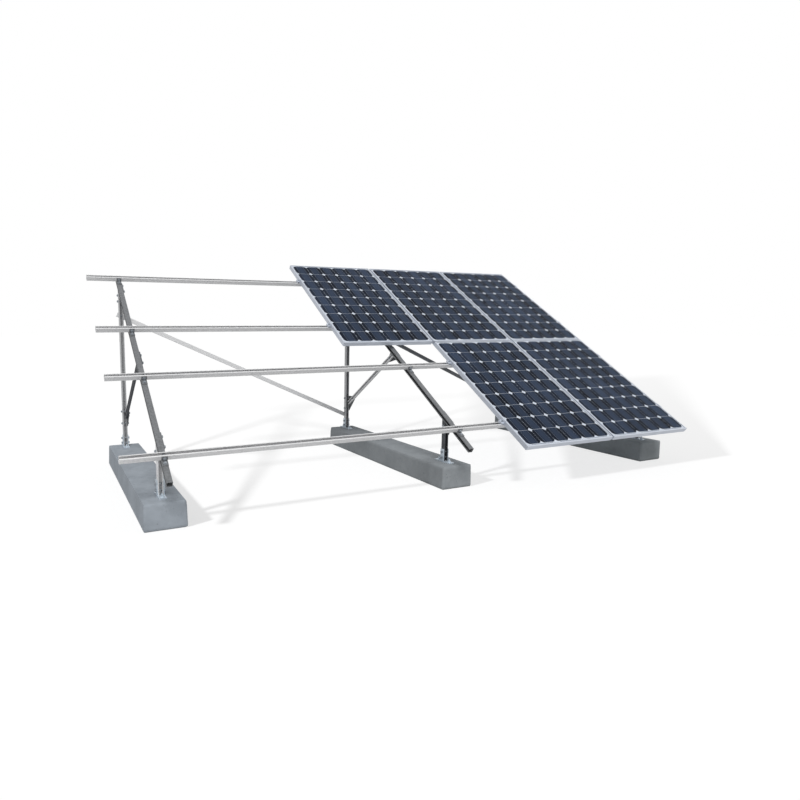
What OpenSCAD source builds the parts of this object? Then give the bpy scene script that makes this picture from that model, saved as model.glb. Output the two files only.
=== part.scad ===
// Tilted mounting structure for photovoltaic modules, standing on concrete ballast beams.
// Millimetres, +Z up, +X along the rails, modules facing the low side at -Y.
// Origin: centre of the footprint box at ground level.

/* [Array] */
// Width of one module along the rails
module_w = 992; // [900:1:1100]
// Length of one module up the slope
module_l = 1482; // [1400:1:1700]
// Thickness of the module frame
module_t = 40; // [35:1:46]
// Gap between neighbouring modules of a row
column_gap = 20; // [18:1:30]
// Gap between the two rows of modules
row_gap = 10; // [5:1:30]
// Slope of the array in degrees
tilt_deg = 33; // [25:0.5:38]
// Height of the array's low edge above the ground
array_low_z = 374; // [360:1:450]

/* [Module] */
// Wall of the extruded module frame
frame_wall = 2; // [1.6:0.1:2.4]
// Width of the frame's top lip over the laminate
frame_lip = 11; // [9:0.5:13]
// Width of the frame's bottom flange
frame_flange = 30; // [24:1:35]
// Thickness of the glass and cell laminate
laminate_t = 5; // [4:0.1:6]
// Free play round the laminate in its groove
laminate_play = 0.25; // [0.1:0.05:0.4]
// Hairline at each mitred frame corner
mitre_gap = 0.3; // [0.2:0.05:0.6]
// Width of the junction box on the back
jbox_w = 150; // [110:1:180]
// Length of the junction box up the slope
jbox_l = 108; // [90:1:120]
// Depth of the junction box
jbox_t = 23; // [18:0.5:25]
// Distance of the junction box from the module's top edge
jbox_edge = 95; // [80:1:120]

/* [Channel section] */
// Width and full depth of the lipped steel channel
strut_w = 41; // [38:0.5:45]
// Depth of the shallow channel of the braces
brace_h = 21; // [20:0.5:26]
// Sheet thickness of the channel
strut_wall = 2.5; // [2:0.1:3]
// Width of the channel's long slot
strut_slot = 22; // [20.5:0.5:24]
// Depth of the turned-in lips
strut_lip = 7; // [5:0.5:8]
// Outer bend radius of the channel
strut_bend = 4; // [3.2:0.1:5]

/* [Purlins] */
// Length of each purlin
purlin_len = 5185; // [5180:5:5400]
// Overhang of the purlins past the left frame's centre
purlin_left_overhang = 286; // [150:1:400]
// Overhang of the purlins past the right frame's centre
purlin_right_overhang = 75; // [70:1:140]
// Length of purlin past the array's right edge
purlin_end_margin = 32; // [28:1:60]
// Distance of each row's low purlin from the row's low edge
purlin_inset = 330; // [280:1:370]
// Distance between the two purlins under one row
purlin_spacing = 850; // [750:1:900]

/* [Frames] */
// Front post's axis behind the front end of its beam
front_post_edge = 176; // [130:1:220]
// Rear post's axis before the back end of its beam
rear_post_edge = 112; // [104:1:140]
// Low end of the rafter, measured up the slope
rafter_low = 115; // [60:1:200]
// High end of the rafter, measured up the slope
rafter_high = 2745; // [2725:1:2850]
// Height of the knee brace's axis at the rear post
brace_foot_z = 457; // [430:1:560]
// Place of the knee brace's axis on the rafter, up the slope
brace_head_s = 1455; // [1390:1:1600]
// Height of a rear diagonal's axis at its high end
diagonal_high_z = 1430; // [1380:1:1440]
// Height of a rear diagonal's axis at its low end
diagonal_low_z = 338; // [334:1:350]
// Length of a rear diagonal past each bolt
diagonal_tail = 36; // [30:1:42]

/* [Ballast] */
// Length of each concrete beam
block_len = 2010; // [1960:1:2040]
// Height of each concrete beam
block_h = 190; // [170:1:198]
// Width of a beam at its top
block_top_w = 286; // [240:1:300]
// Width of a beam at its foot
block_bottom_w = 302; // [301:1:340]
// Front end of a beam behind the array's low edge
block_setback = 302; // [250:1:330]
// Bevel along a beam's top edges
block_bevel = 7; // [3:0.5:12]

/* [Plates] */
// Thickness of the joint plates
gusset_t = 6; // [5:0.5:8]
// Reach of a joint plate along a member
gusset_reach = 150; // [146:1:160]
// Thickness of the foot's base plate
foot_plate_t = 8; // [6:0.5:10]
// Length of the foot's base plate
foot_len = 190; // [180:1:210]
// Height of the foot's two ears
foot_ear_h = 104; // [100:1:108]
// Thickness of the foot's ears
foot_ear_t = 6; // [5:0.5:8]
// Anchor bolts before and behind the post
anchor_offset = 68; // [62:1:72]
// Depth of an anchor in the concrete
anchor_depth = 85; // [60:1:110]
// Leg of the purlin cleats
cleat_leg = 52; // [50:1:60]
// Thickness of the purlin cleats
cleat_t = 5; // [4:0.5:6]

/* [Fasteners] */
// Diameter of the structural bolts
bolt_d = 12; // [11:0.5:12]
// Width across flats of their heads and nuts
bolt_af = 18.5; // [17:0.5:19]
// Diameter of the clamp bolts
clamp_bolt_d = 8; // [7:0.5:8]
// Length of a module clamp up the slope
clamp_len = 50; // [40:1:70]
// Reach of a clamp over the module frame
clamp_reach = 7.5; // [6:0.5:8]
// Sheet thickness of the module clamps
clamp_t = 3; // [2.5:0.1:3.5]

/* [Hidden] */

round_fn = 48;
cut = 1;
slant = 0.3;
big = 400;

// Colours as they look in daylight
concrete_colour = [0.54, 0.57, 0.6];
steel_colour = [0.66, 0.67, 0.68];
bright_steel_colour = [0.8, 0.82, 0.85];
aluminium_colour = [0.76, 0.79, 0.84];
cell_colour = [0.12, 0.16, 0.24];
box_colour = [0.08, 0.08, 0.09];

// Places along the slope, measured from the array's low edge
row_start = [0, module_l + row_gap];
slope_len = 2 * module_l + row_gap;
purlin_s = [purlin_inset, purlin_inset + purlin_spacing,
    row_start[1] + purlin_inset, row_start[1] + purlin_inset + purlin_spacing];
purlin_top_n = -module_t;
rafter_top_n = purlin_top_n - strut_w;
rafter_mid_n = rafter_top_n - strut_w / 2;
rafter_foot_n = rafter_top_n - strut_w;

// Overall frame of reference
array_depth = slope_len * cos(tilt_deg) + module_t * sin(tilt_deg);
array_front_y = -array_depth / 2;
frame_pitch = (purlin_len - purlin_left_overhang - purlin_right_overhang) / 2;
overall_len = max(purlin_len, purlin_len - purlin_right_overhang + block_bottom_w / 2);
purlin_left_x = -overall_len / 2;
array_right_x = purlin_left_x + purlin_len - purlin_end_margin;
frame_x = [for (i = [0:2]) purlin_left_x + purlin_left_overhang + i * frame_pitch];
block_front_y = array_front_y + block_setback;
block_mid_y = block_front_y + block_len / 2;
front_y = block_front_y + front_post_edge;
rear_y = block_front_y + block_len - rear_post_edge;

// Modules as [column, row]: three above, two below on the right
module_cells = [[0, 1], [1, 1], [2, 1], [1, 0], [2, 0]];
// First and last column of each row, low row first
row_columns = [[1, 2], [0, 2]];
column_pitch = module_w + column_gap;
function column_x(c) = array_right_x - 3 * module_w - 2 * column_gap + c * column_pitch;

// A point of the slope's own plane as [y, z]
function slope_y(s, n) = array_front_y + s * cos(tilt_deg) - n * sin(tilt_deg);
function slope_z(s, n) = array_low_z + s * sin(tilt_deg) + n * cos(tilt_deg);
function slope_yz(s, n) = [slope_y(s, n), slope_z(s, n)];
// Where a post's axis crosses the rafter's axis, up the slope
function rafter_s_at(y) = (y - array_front_y + rafter_mid_n * sin(tilt_deg)) / cos(tilt_deg);
// Height of the rafter's underside above a place
function underside_z(y) =
    slope_z((y - array_front_y + rafter_foot_n * sin(tilt_deg)) / cos(tilt_deg), rafter_foot_n);

// Knee brace in the frame's plane
brace_foot = [rear_y, brace_foot_z];
brace_head = slope_yz(brace_head_s, rafter_mid_n);
brace_span = norm(brace_head - brace_foot);
brace_dir = (brace_head - brace_foot) / brace_span;
brace_side = [-brace_dir[1], brace_dir[0]];
brace_angle = atan2(brace_dir[1], brace_dir[0]);
brace_along_n = -brace_dir[0] * sin(tilt_deg) + brace_dir[1] * cos(tilt_deg);
brace_along_s = abs(brace_dir[0] * cos(tilt_deg) + brace_dir[1] * sin(tilt_deg));
member_gap = 1.5;
half = strut_w / 2;
brace_start = (half + member_gap + half * brace_dir[1]) / abs(brace_dir[0]);
brace_stop = brace_span - (half + member_gap + half * brace_along_s) / brace_along_n;
function on_brace(d, side) = brace_foot + brace_dir * d + brace_side * side;

// Structural bolts
shank_r = bolt_d / 2;
hole_play = 0.75;
thread_play = 0.2;
hole_r = shank_r + hole_play;
nut_bore_r = shank_r + thread_play;
head_h = 7.5;
flange_t = 2;
flange_r = 13;
nut_h = 10;
stud_tail = 3;
anchor_tail = 12;
bolt_edge = 30;
bolt_gap = 55;
plate_margin = 18;
plate_end = 26;

// Bolt places in the frame's plane, as [y, z]
post_bolt_top = 38;
post_bolt_drop = [post_bolt_top, post_bolt_top + bolt_gap];
rafter_bolt_side = 50;
foot_bolt_low = 30;
foot_bolt_edge = 28;
foot_joint_below = 42;
foot_joint_above = 72;
front_joint_s = rafter_s_at(front_y);
rear_joint_s = rafter_s_at(rear_y);
function post_bolts(y) = [for (d = post_bolt_drop) [y, underside_z(y) - d]];
function rafter_bolts(s) = [for (k = [-1, 1]) slope_yz(s + k * rafter_bolt_side, rafter_mid_n)];
foot_top_z = block_h + foot_plate_t;
foot_bolt_z = [foot_top_z + foot_bolt_low, foot_top_z + foot_ear_h - foot_bolt_edge];
foot_brace_bolts = [for (d = [0, bolt_gap]) on_brace(brace_start + bolt_edge + d, 0)];
head_brace_bolts = [for (d = [0, bolt_gap]) on_brace(brace_stop - bolt_edge - d, 0)];
foot_post_bolts = [[rear_y, brace_foot_z - foot_joint_below], [rear_y, brace_foot_z + foot_joint_above]];

// Purlin cleats
cleat_bolt_edge = 21;
cleat_top_margin = 4.5;
cleat_bolt_back = half + cleat_leg - cleat_bolt_edge;
cleat_rise = half + flange_r + cleat_top_margin;

// Rear diagonals between neighbouring frames
diagonal_drop = diagonal_high_z - diagonal_low_z;
diagonal_span = sqrt(frame_pitch * frame_pitch + diagonal_drop * diagonal_drop);
diagonal_angle = atan2(diagonal_drop, frame_pitch);
diagonal_ends = [[diagonal_high_z], [diagonal_low_z, diagonal_high_z], [diagonal_low_z]];

// Module frame groove and back
groove_h = laminate_t + 2 * laminate_play;
groove_floor = module_t - frame_wall - groove_h;
laminate_low = groove_floor + laminate_play;
laminate_inset = frame_wall + laminate_play;

// Module clamps
clamp_bolt_r = clamp_bolt_d / 2;
clamp_hole_play = 0.4;
clamp_hole_r = clamp_bolt_r + clamp_hole_play;
clamp_play = 0.3;
clamp_nut_drop = 0.2;
clamp_shelf_z = 15;
clamp_foot_w = 23;
clamp_bolt_x = clamp_foot_w / 2;
clamp_nut_t = 7;
clamp_nut_len = 38;
clamp_nut_w = 33;
socket_head_r = 6.5;
socket_head_h = 8;
socket_af = 6;

// Carries its children from the slope's own frame to the ground frame
module on_slope() {
    translate([0, array_front_y, array_low_z])
        rotate([tilt_deg, 0, 0])
            children();
}

// Lays a flat drawing, given as [y, z], into the plane across +X
module across_x() {
    rotate([90, 0, 90])
        children();
}

// Square-cornered box with round edges, drawn flat
module round_rect(w, h, r) {
    square([w - 2 * r, h], center = true);
    square([w, h - 2 * r], center = true);
    for (x = [-1, 1])
        for (y = [-1, 1])
            translate([x * (w / 2 - r), y * (h / 2 - r)])
                circle(r = r, $fn = round_fn);
}

// Lipped channel section, slot towards +Y
module channel_section(h) {
    difference() {
        round_rect(strut_w, h, strut_bend);
        round_rect(strut_w - 2 * strut_wall, h - 2 * strut_wall, strut_bend - strut_wall);
        translate([-strut_slot / 2, h / 2 - strut_wall - cut])
            square([strut_slot, strut_wall + 2 * cut]);
    }
    for (x = [-1, 1])
        translate([x * (strut_slot + strut_wall) / 2, h / 2 - strut_lip / 2])
            square([strut_wall, strut_lip], center = true);
}

// Straight length of channel standing on the ground plane
module channel(length, h) {
    linear_extrude(height = length)
        channel_section(h);
}

// Hexagonal prism by its width across flats
module hex(af, h) {
    cylinder(r = af / 2 / cos(30), h = h, $fn = 6);
}

// Bolt along +X through a clamped thickness: head before x = 0, nut behind it
module cross_bolt(grip) {
    rotate([0, 90, 0]) {
        translate([0, 0, -flange_t])
            cylinder(r = flange_r, h = flange_t, $fn = round_fn);
        translate([0, 0, -flange_t - head_h])
            hex(bolt_af, head_h);
        translate([0, 0, -cut])
            cylinder(r = shank_r, h = grip + nut_h + stud_tail + cut, $fn = round_fn);
        translate([0, 0, grip])
            difference() {
                hex(bolt_af, nut_h);
                translate([0, 0, -cut])
                    cylinder(r = nut_bore_r, h = nut_h + 2 * cut, $fn = round_fn);
            }
    }
}

// The same bolt seen from the plate's side of a frame, so its head is at +X
module plate_bolt(grip) {
    mirror([1, 0, 0])
        cross_bolt(grip);
}

// Clearance holes across X at a list of [y, z] places
module holes_across_x(places, depth) {
    for (p = places)
        translate([-depth / 2, p[0], p[1]])
            rotate([0, 90, 0])
                cylinder(r = hole_r, h = depth, $fn = round_fn);
}

module ballast_block(i) {
    inner = block_top_w / 2;
    foot = block_bottom_w / 2;
    color(concrete_colour)
        translate([frame_x[i], block_mid_y, 0])
            difference() {
                rotate([90, 0, 0])
                    translate([0, 0, -block_len / 2])
                        linear_extrude(height = block_len)
                            polygon([[-foot, 0], [foot, 0], [inner, block_h - block_bevel],
                                [inner - block_bevel, block_h], [block_bevel - inner, block_h],
                                [-inner, block_h - block_bevel]]);
                for (y = [front_y, rear_y])
                    for (k = [-1, 1])
                        translate([0, y + k * anchor_offset - block_mid_y, block_h - anchor_depth])
                            cylinder(r = nut_bore_r, h = anchor_depth + cut, $fn = round_fn);
            }
}

// Upright channel from its foot to the rafter's underside, slot to the front
module post(i, y, bolts, diagonal_bolts) {
    color(steel_colour)
        difference() {
            translate([frame_x[i], y, foot_top_z])
                rotate([0, 0, 180])
                    channel(underside_z(y) - foot_top_z + strut_w, strut_w);
            on_slope()
                translate([frame_x[i] - big / 2, rafter_s_at(y) - big, rafter_foot_n - slant])
                    cube([big, 2 * big, big]);
            translate([frame_x[i], 0, 0])
                holes_across_x(bolts, 2 * strut_w);
            for (z = diagonal_bolts)
                translate([frame_x[i], y, z])
                    rotate([-90, 0, 0])
                        cylinder(r = hole_r, h = strut_w, $fn = round_fn);
        }
}

module front_post(i) {
    foot_bolts = [for (z = foot_bolt_z) [front_y, z]];
    post(i, front_y, concat(post_bolts(front_y), foot_bolts), []);
}

module rear_post(i) {
    foot_bolts = [for (z = foot_bolt_z) [rear_y, z]];
    post(i, rear_y, concat(post_bolts(rear_y), foot_post_bolts, foot_bolts), diagonal_ends[i]);
}

// Sloping channel under the purlins, slot to the left
module rafter(i) {
    color(steel_colour)
        difference() {
            on_slope()
                difference() {
                    translate([frame_x[i], rafter_low, rafter_mid_n])
                        rotate([0, 90, 0])
                            rotate([-90, 0, 0])
                                channel(rafter_high - rafter_low, strut_w);
                    for (s = purlin_s)
                        translate([frame_x[i], s - cleat_bolt_back, rafter_mid_n])
                            cylinder(r = hole_r, h = strut_w, $fn = round_fn);
                }
            translate([frame_x[i] + half, 0, 0])
                holes_across_x(concat(rafter_bolts(front_joint_s), rafter_bolts(rear_joint_s),
                    rafter_bolts(brace_head_s)), half);
        }
}

// Shallow channel from the rear post up to the rafter, slot to the left
module knee_brace(i) {
    color(steel_colour)
        difference() {
            translate([frame_x[i] + half - brace_h / 2, brace_foot[0], brace_foot[1]])
                rotate([brace_angle, 0, 0])
                    translate([0, brace_start, 0])
                        rotate([0, 90, 0])
                            rotate([-90, 0, 0])
                                channel(brace_stop - brace_start, brace_h);
            translate([frame_x[i] + half, 0, 0])
                holes_across_x(concat(foot_brace_bolts, head_brace_bolts), brace_h / 2);
        }
}

// Flat joint plate on the right-hand side of a frame
module gusset(i, outline, bolts) {
    color(bright_steel_colour)
        difference() {
            translate([frame_x[i] + half, 0, 0])
                across_x()
                    linear_extrude(height = gusset_t)
                        polygon(outline);
            translate([frame_x[i] + half, 0, 0])
                holes_across_x(bolts, 4 * gusset_t);
        }
}

// Plate between a post and the rafter above it
module post_gusset(i, y, s) {
    reach = rafter_bolt_side + plate_end;
    low_z = underside_z(y) - post_bolt_drop[1] - plate_end;
    gusset(i, [slope_yz(s - reach, rafter_mid_n + plate_margin),
        slope_yz(s - reach, rafter_mid_n - plate_margin),
        [y - plate_margin, low_z],
        [y + plate_margin, low_z],
        slope_yz(s + reach, rafter_mid_n - plate_margin),
        slope_yz(s + reach, rafter_mid_n + plate_margin)],
        concat(post_bolts(y), rafter_bolts(s)));
}

module front_gusset(i) {
    post_gusset(i, front_y, front_joint_s);
}

module rear_gusset(i) {
    post_gusset(i, rear_y, rear_joint_s);
}

// Plate between the knee brace and the rafter
module brace_head_gusset(i) {
    reach = rafter_bolt_side + plate_end;
    back = brace_stop - gusset_reach + bolt_edge;
    gusset(i, [slope_yz(brace_head_s - reach, rafter_mid_n + plate_margin),
        slope_yz(brace_head_s - reach, rafter_mid_n - plate_margin),
        on_brace(back, plate_margin), on_brace(back, -plate_margin),
        slope_yz(brace_head_s + reach, rafter_mid_n - plate_margin),
        slope_yz(brace_head_s + reach, rafter_mid_n + plate_margin)],
        concat(head_brace_bolts, rafter_bolts(brace_head_s)));
}

// Plate between the knee brace and the rear post
module brace_foot_gusset(i) {
    front = brace_start + gusset_reach - bolt_edge;
    low_z = foot_post_bolts[0][1] - plate_end;
    high_z = foot_post_bolts[1][1] + plate_end;
    gusset(i, [[rear_y + plate_margin, low_z], [rear_y + plate_margin, high_z],
        [rear_y - plate_margin, high_z], on_brace(front, -plate_margin), on_brace(front, plate_margin),
        [rear_y - plate_margin, low_z]],
        concat(foot_brace_bolts, foot_post_bolts));
}

// Base plate with two ears that clasp a post
module foot(i, y) {
    width = strut_w + 2 * foot_ear_t;
    color(bright_steel_colour)
        translate([frame_x[i], y, block_h])
            difference() {
                union() {
                    translate([-width / 2, -foot_len / 2, 0])
                        cube([width, foot_len, foot_plate_t]);
                    for (x = [-width / 2, strut_w / 2])
                        translate([x, -half, 0])
                            cube([foot_ear_t, strut_w, foot_plate_t + foot_ear_h]);
                }
                for (k = [-1, 1])
                    translate([0, k * anchor_offset, -cut])
                        cylinder(r = hole_r, h = foot_plate_t + 2 * cut, $fn = round_fn);
                holes_across_x([for (z = foot_bolt_z) [0, z - block_h]], 2 * width);
            }
}

module front_foot(i) {
    foot(i, front_y);
}

module rear_foot(i) {
    foot(i, rear_y);
}

// Shallow channel behind two neighbouring rear posts, high on the left, slot to the back
module rear_diagonal(i) {
    color(steel_colour)
        translate([frame_x[i], rear_y + half + brace_h / 2, diagonal_high_z])
            rotate([0, diagonal_angle, 0])
                difference() {
                    translate([-diagonal_tail, 0, 0])
                        rotate([0, 90, 0])
                            channel(diagonal_span + 2 * diagonal_tail, brace_h);
                    for (x = [0, diagonal_span])
                        translate([x, -brace_h, 0])
                            rotate([-90, 0, 0])
                                cylinder(r = hole_r, h = brace_h, $fn = round_fn);
                }
}

// Rail across the frames, slot upwards for the clamp nuts
module purlin(k) {
    s = purlin_s[k];
    color(steel_colour)
        on_slope()
            difference() {
                translate([purlin_left_x, s, purlin_top_n - half])
                    rotate([90, 0, 90])
                        channel(purlin_len, strut_w);
                for (i = [0:2])
                    translate([frame_x[i], s - strut_w, purlin_top_n - half])
                        rotate([-90, 0, 0])
                            cylinder(r = hole_r, h = 2 * strut_w, $fn = round_fn);
            }
}

// Angle cleat on the low side of a purlin
module cleat() {
    difference() {
        across_x()
            translate([0, 0, -half])
                linear_extrude(height = strut_w)
                    polygon([[-half, 0], [-half, cleat_rise], [-half - cleat_t, cleat_rise],
                        [-half - cleat_t, cleat_t], [-half - cleat_leg, cleat_t], [-half - cleat_leg, 0]]);
        translate([0, -cleat_bolt_back, -cut])
            cylinder(r = hole_r, h = cleat_t + 2 * cut, $fn = round_fn);
        translate([0, -half - cleat_t - cut, half])
            rotate([-90, 0, 0])
                cylinder(r = hole_r, h = cleat_t + 2 * cut, $fn = round_fn);
    }
}

module purlin_cleats() {
    color(bright_steel_colour)
        on_slope()
            for (x = frame_x)
                for (s = purlin_s)
                    translate([x, s, rafter_top_n])
                        cleat();
}

// Hollow frame section: outer wall at x = 0, glass groove at the top
module frame_section() {
    difference() {
        union() {
            square([frame_lip, module_t]);
            square([frame_flange, frame_wall]);
        }
        translate([frame_wall, groove_floor])
            square([frame_lip, groove_h]);
        translate([frame_wall, frame_wall])
            square([frame_lip - 2 * frame_wall, groove_floor - 2 * frame_wall]);
    }
}

// One mitred rail of a module frame along +X, its outer side at y = 0
module frame_rail(length) {
    intersection() {
        rotate([90, 0, 90])
            linear_extrude(height = length)
                frame_section();
        linear_extrude(height = module_t)
            polygon([[mitre_gap, 0], [length - mitre_gap, 0],
                [length - frame_flange - mitre_gap, frame_flange], [frame_flange + mitre_gap, frame_flange]]);
    }
}

// Carries its children to the low left corner of a module's back
module on_module(m) {
    on_slope()
        translate([column_x(module_cells[m][0]), row_start[module_cells[m][1]], -module_t])
            children();
}

module module_frame(m) {
    color(aluminium_colour)
        on_module(m) {
            frame_rail(module_w);
            translate([module_w, module_l, 0])
                rotate([0, 0, 180])
                    frame_rail(module_w);
            translate([module_w, 0, 0])
                rotate([0, 0, 90])
                    frame_rail(module_l);
            translate([0, module_l, 0])
                rotate([0, 0, -90])
                    frame_rail(module_l);
        }
}

module laminate(m) {
    color(cell_colour)
        on_module(m)
            translate([laminate_inset, laminate_inset, laminate_low])
                cube([module_w - 2 * laminate_inset, module_l - 2 * laminate_inset, laminate_t]);
}

// Flat moulded box with a raised lid and two cable glands
module junction_box(m) {
    wall_r = 6;
    lid_in = 9;
    lid_t = 4;
    gland_r = 8;
    gland_l = 16;
    gland_af = 17;
    color(box_colour)
        on_module(m)
            translate([module_w / 2, module_l - jbox_edge - jbox_l / 2, laminate_low - laminate_play - jbox_t]) {
                translate([0, 0, lid_t])
                    linear_extrude(height = jbox_t - lid_t)
                        round_rect(jbox_w, jbox_l, wall_r);
                linear_extrude(height = lid_t + cut)
                    round_rect(jbox_w - 2 * lid_in, jbox_l - 2 * lid_in, wall_r);
                for (k = [-1, 1])
                    translate([k * jbox_w / 4, -jbox_l / 2 + cut, (jbox_t + lid_t) / 2])
                        rotate([90, 0, 0])
                            difference() {
                                union() {
                                    cylinder(r = gland_r, h = gland_l, $fn = round_fn);
                                    translate([0, 0, gland_l / 3])
                                        hex(gland_af, gland_l / 3);
                                }
                                translate([0, 0, gland_l / 2])
                                    cylinder(r = gland_r / 2, h = gland_l, $fn = round_fn);
                            }
            }
}

// Hat-shaped clamp in the gap between two modules, drawn over the gap's middle
module mid_clamp() {
    leg = column_gap / 2 - clamp_play;
    wing = column_gap / 2 + clamp_reach;
    difference() {
        rotate([90, 0, 0])
            translate([0, 0, -clamp_len / 2])
                linear_extrude(height = clamp_len)
                    polygon([[-wing, module_t], [-wing, module_t + clamp_t], [clamp_t - leg, module_t + clamp_t],
                        [clamp_t - leg, clamp_shelf_z + clamp_t], [leg - clamp_t, clamp_shelf_z + clamp_t],
                        [leg - clamp_t, module_t + clamp_t], [wing, module_t + clamp_t], [wing, module_t],
                        [leg, module_t], [leg, clamp_shelf_z], [-leg, clamp_shelf_z], [-leg, module_t]]);
        translate([0, 0, clamp_shelf_z - cut])
            cylinder(r = clamp_hole_r, h = clamp_t + 2 * cut, $fn = round_fn);
    }
}

// Stepped clamp at a row's end, holding a module that lies at negative x
module end_clamp() {
    difference() {
        rotate([90, 0, 0])
            translate([clamp_play, 0, -clamp_len / 2])
                linear_extrude(height = clamp_len)
                    polygon([[0, 0], [0, module_t], [-clamp_reach, module_t], [-clamp_reach, module_t + clamp_t],
                        [clamp_t, module_t + clamp_t], [clamp_t, clamp_shelf_z + clamp_t],
                        [clamp_foot_w, clamp_shelf_z + clamp_t], [clamp_foot_w, 0],
                        [clamp_foot_w - clamp_t, 0], [clamp_foot_w - clamp_t, clamp_shelf_z],
                        [clamp_t, clamp_shelf_z], [clamp_t, 0]]);
        translate([clamp_bolt_x, 0, clamp_shelf_z - cut])
            cylinder(r = clamp_hole_r, h = clamp_t + 2 * cut, $fn = round_fn);
    }
}

// Socket-head bolt and channel nut of a clamp, standing on the purlin's top
module clamp_fastener() {
    nut_top = -strut_lip - clamp_nut_drop;
    seat = clamp_shelf_z + clamp_t;
    difference() {
        union() {
            translate([0, 0, seat])
                cylinder(r = socket_head_r, h = socket_head_h, $fn = round_fn);
            translate([0, 0, nut_top - clamp_nut_t - stud_tail])
                cylinder(r = clamp_bolt_r, h = seat - nut_top + clamp_nut_t + stud_tail + cut, $fn = round_fn);
        }
        translate([0, 0, seat + socket_head_h / 2])
            hex(socket_af, socket_head_h);
    }
    translate([0, 0, nut_top - clamp_nut_t])
        difference() {
            translate([-clamp_nut_len / 2, -clamp_nut_w / 2, 0])
                cube([clamp_nut_len, clamp_nut_w, clamp_nut_t]);
            translate([0, 0, -cut])
                cylinder(r = clamp_bolt_r + thread_play, h = clamp_nut_t + 2 * cut, $fn = round_fn);
        }
}

// Sets a clamp on each purlin of a row, at a place along the rails
module on_row(row, x, turn) {
    for (k = [0, 1])
        translate([x, purlin_s[2 * row + k], -module_t])
            rotate([0, 0, turn])
                children();
}

module mid_clamps() {
    color(aluminium_colour)
        on_slope()
            for (row = [0, 1])
                for (c = [row_columns[row][0] : row_columns[row][1] - 1])
                    on_row(row, column_x(c) + module_w + column_gap / 2, 0)
                        mid_clamp();
}

module end_clamps() {
    color(aluminium_colour)
        on_slope()
            for (row = [0, 1]) {
                on_row(row, column_x(row_columns[row][0]), 180)
                    end_clamp();
                on_row(row, column_x(row_columns[row][1]) + module_w, 0)
                    end_clamp();
            }
}

module clamp_bolts() {
    color(bright_steel_colour)
        on_slope()
            for (row = [0, 1]) {
                on_row(row, column_x(row_columns[row][0]) - clamp_bolt_x, 0)
                    clamp_fastener();
                on_row(row, column_x(row_columns[row][1]) + module_w + clamp_bolt_x, 0)
                    clamp_fastener();
                for (c = [row_columns[row][0] : row_columns[row][1] - 1])
                    on_row(row, column_x(c) + module_w + column_gap / 2, 0)
                        clamp_fastener();
            }
}

// Anchor studs with flanged nuts in the concrete
module anchor_bolts() {
    stud_l = anchor_depth + foot_plate_t + flange_t + nut_h + anchor_tail;
    color(bright_steel_colour)
        for (x = frame_x)
            for (y = [front_y, rear_y])
                for (k = [-1, 1])
                    translate([x, y + k * anchor_offset, 0]) {
                        translate([0, 0, block_h - anchor_depth + cut])
                            cylinder(r = shank_r, h = stud_l, $fn = round_fn);
                        translate([0, 0, foot_top_z])
                            difference() {
                                union() {
                                    cylinder(r = flange_r, h = flange_t, $fn = round_fn);
                                    translate([0, 0, flange_t])
                                        hex(bolt_af, nut_h);
                                }
                                translate([0, 0, -cut])
                                    cylinder(r = nut_bore_r, h = nut_h + flange_t + 2 * cut, $fn = round_fn);
                            }
                    }
}

// Bolts of one frame: plates, feet, cleats and diagonals
module frame_bolt_set(i) {
    plate_face = half + gusset_t;
    ear_face = half + foot_ear_t;
    translate([frame_x[i], 0, 0]) {
        for (p = concat(rafter_bolts(front_joint_s), rafter_bolts(rear_joint_s), rafter_bolts(brace_head_s),
                foot_brace_bolts, head_brace_bolts))
            translate([plate_face, p[0], p[1]])
                plate_bolt(gusset_t + strut_wall);
        for (p = concat(post_bolts(front_y), post_bolts(rear_y), foot_post_bolts))
            translate([plate_face, p[0], p[1]])
                plate_bolt(gusset_t + strut_w);
        for (y = [front_y, rear_y])
            for (z = foot_bolt_z)
                translate([ear_face, y, z])
                    plate_bolt(strut_w + 2 * foot_ear_t);
    }
    on_slope()
        for (s = purlin_s) {
            translate([frame_x[i], s - half - cleat_t, purlin_top_n - half])
                rotate([0, 0, 90])
                    cross_bolt(cleat_t + strut_w);
            translate([frame_x[i], s - cleat_bolt_back, rafter_top_n + cleat_t])
                rotate([0, 90, 0])
                    cross_bolt(cleat_t + strut_wall);
        }
}

// Bolt through a rear diagonal's web and the post's web
module diagonal_bolt(i, z) {
    translate([frame_x[i], rear_y + half + strut_wall, z])
        rotate([0, 0, -90])
            cross_bolt(2 * strut_wall);
}

module frame_bolts() {
    color(bright_steel_colour) {
        for (i = [0:2])
            frame_bolt_set(i);
        for (i = [0, 1]) {
            diagonal_bolt(i, diagonal_high_z);
            diagonal_bolt(i + 1, diagonal_low_z);
        }
    }
}

ballast_block(0);  // ballast_block_left
ballast_block(1);  // ballast_block_middle
ballast_block(2);  // ballast_block_right
front_post(0);  // front_post_left
front_post(1);  // front_post_middle
front_post(2);  // front_post_right
rear_post(0);  // rear_post_left
rear_post(1);  // rear_post_middle
rear_post(2);  // rear_post_right
rafter(0);  // rafter_left
rafter(1);  // rafter_middle
rafter(2);  // rafter_right
knee_brace(0);  // knee_brace_left
knee_brace(1);  // knee_brace_middle
knee_brace(2);  // knee_brace_right
front_foot(0);  // front_foot_left
front_foot(1);  // front_foot_middle
front_foot(2);  // front_foot_right
rear_foot(0);  // rear_foot_left
rear_foot(1);  // rear_foot_middle
rear_foot(2);  // rear_foot_right
front_gusset(0);  // front_gusset_left
front_gusset(1);  // front_gusset_middle
front_gusset(2);  // front_gusset_right
rear_gusset(0);  // rear_gusset_left
rear_gusset(1);  // rear_gusset_middle
rear_gusset(2);  // rear_gusset_right
brace_head_gusset(0);  // brace_head_gusset_left
brace_head_gusset(1);  // brace_head_gusset_middle
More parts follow.
